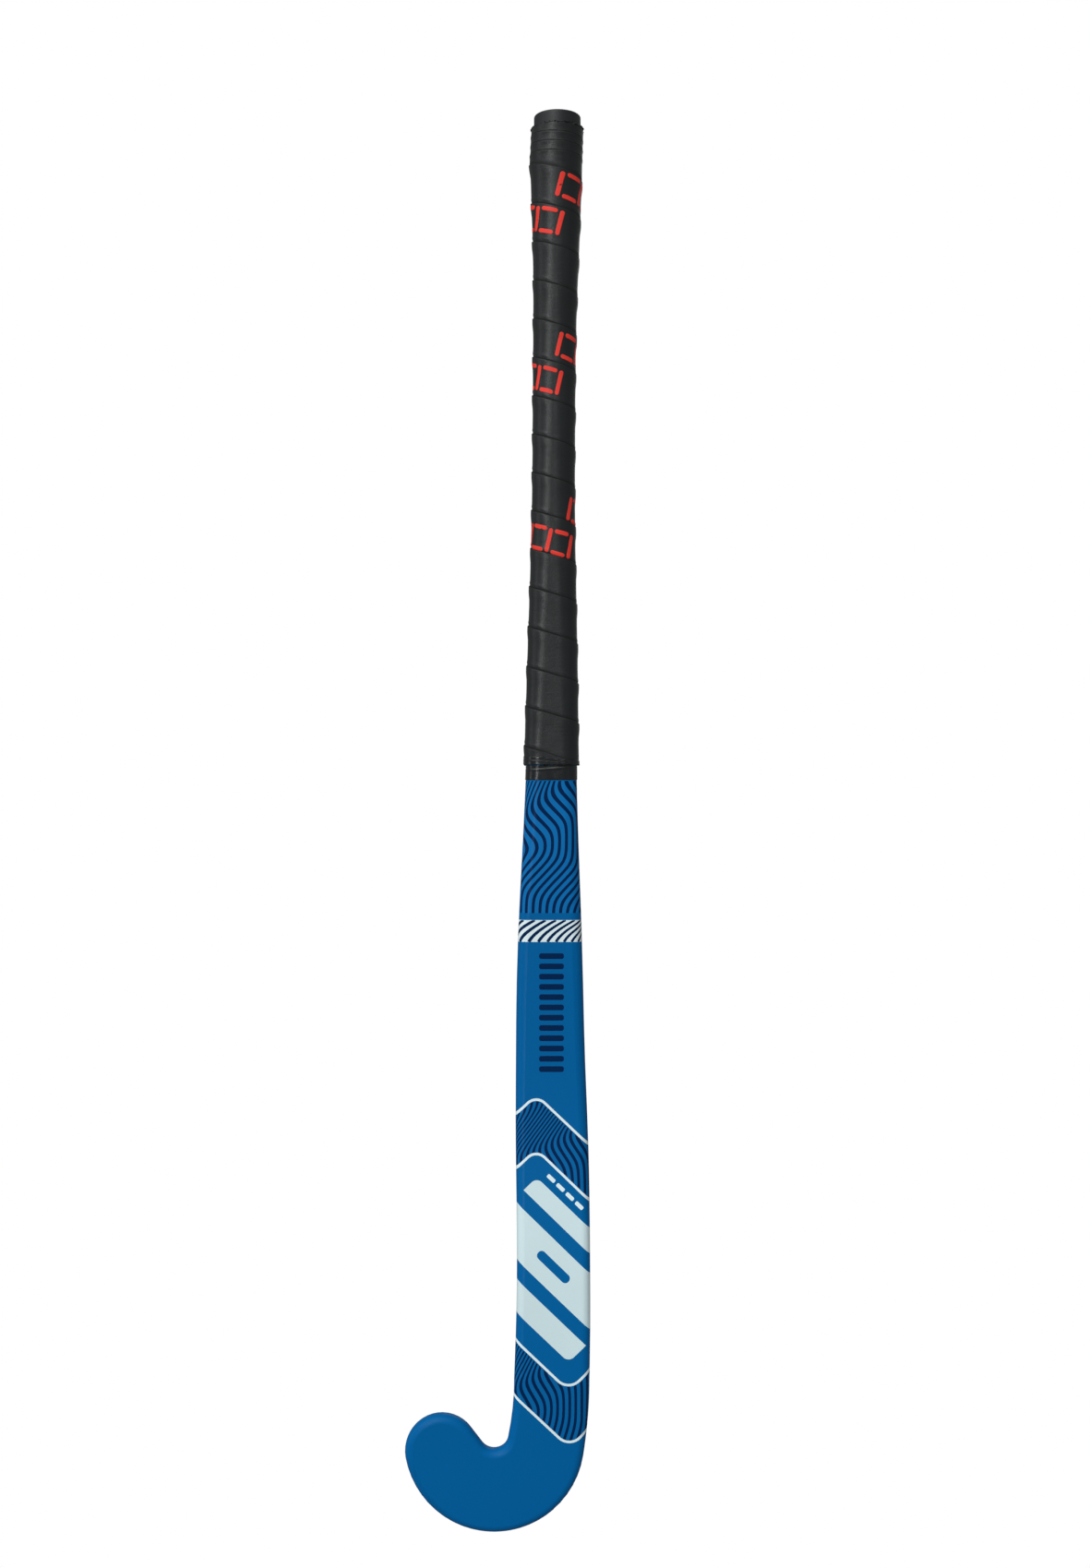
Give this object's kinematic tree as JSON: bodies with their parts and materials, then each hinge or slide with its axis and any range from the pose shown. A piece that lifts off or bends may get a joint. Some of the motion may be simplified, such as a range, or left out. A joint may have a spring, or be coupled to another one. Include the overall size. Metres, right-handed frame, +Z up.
{
  "type": "field hockey stick",
  "caption": "Composite field hockey stick with a bowed blue shaft, a hooked head with a flat playing face, a black wound grip and pale pinstripes.",
  "frame": {"origin": "bottom centre of the stick's box as it stands on the sole of the hook", "axes": "+Z up the shaft from the hook to the butt, the flat playing face towards -Y, the toe towards -X"},
  "size_m": [0.1209, 0.0456, 0.9269],
  "materials": {
    "shell_lacquer": "clear-lacquered blue composite, glossy",
    "laminate": "bare fibre laminate",
    "foam": "rigid foam",
    "plug_plastic": "moulded plastic",
    "cap_rubber": "moulded rubber, satin",
    "grip_backing": "non-woven backing",
    "grip_wrap": "cushioned tape, satin, with raised overlaps and red printed bars",
    "finish_tape": "stretched vinyl tape, glossy",
    "wave_film": "transfer film under lacquer, navy wave lines on blue",
    "pale_film": "transfer film under lacquer, pale",
    "emblem_film": "transfer film under lacquer, pale grey",
    "navy_film": "transfer film under lacquer, navy"
  },
  "bodies": {
    "root": {"composite_shell": "shell_lacquer", "toe_side_tube": "laminate", "heel_side_tube": "laminate", "impact_ply": "laminate", "head_core": "foam", "handle_core": "foam", "butt_plug": "plug_plastic", "end_cap": "cap_rubber", "grip_backing": "grip_backing", "grip_wrap": "grip_wrap", "finish_tape_upper": "finish_tape", "finish_tape_lower": "finish_tape", "upper_wave_film": "wave_film", "middle_wave_film": "wave_film", "lower_wave_film": "wave_film", "pale_band_film": "pale_film", "pinstripe_1": "pale_film", "pinstripe_2": "pale_film", "pinstripe_3": "pale_film", "pinstripe_4": "pale_film", "emblem_film": "emblem_film", "rung_film": "navy_film", "bar_film": "pale_film"}
  },
  "joints": []
}
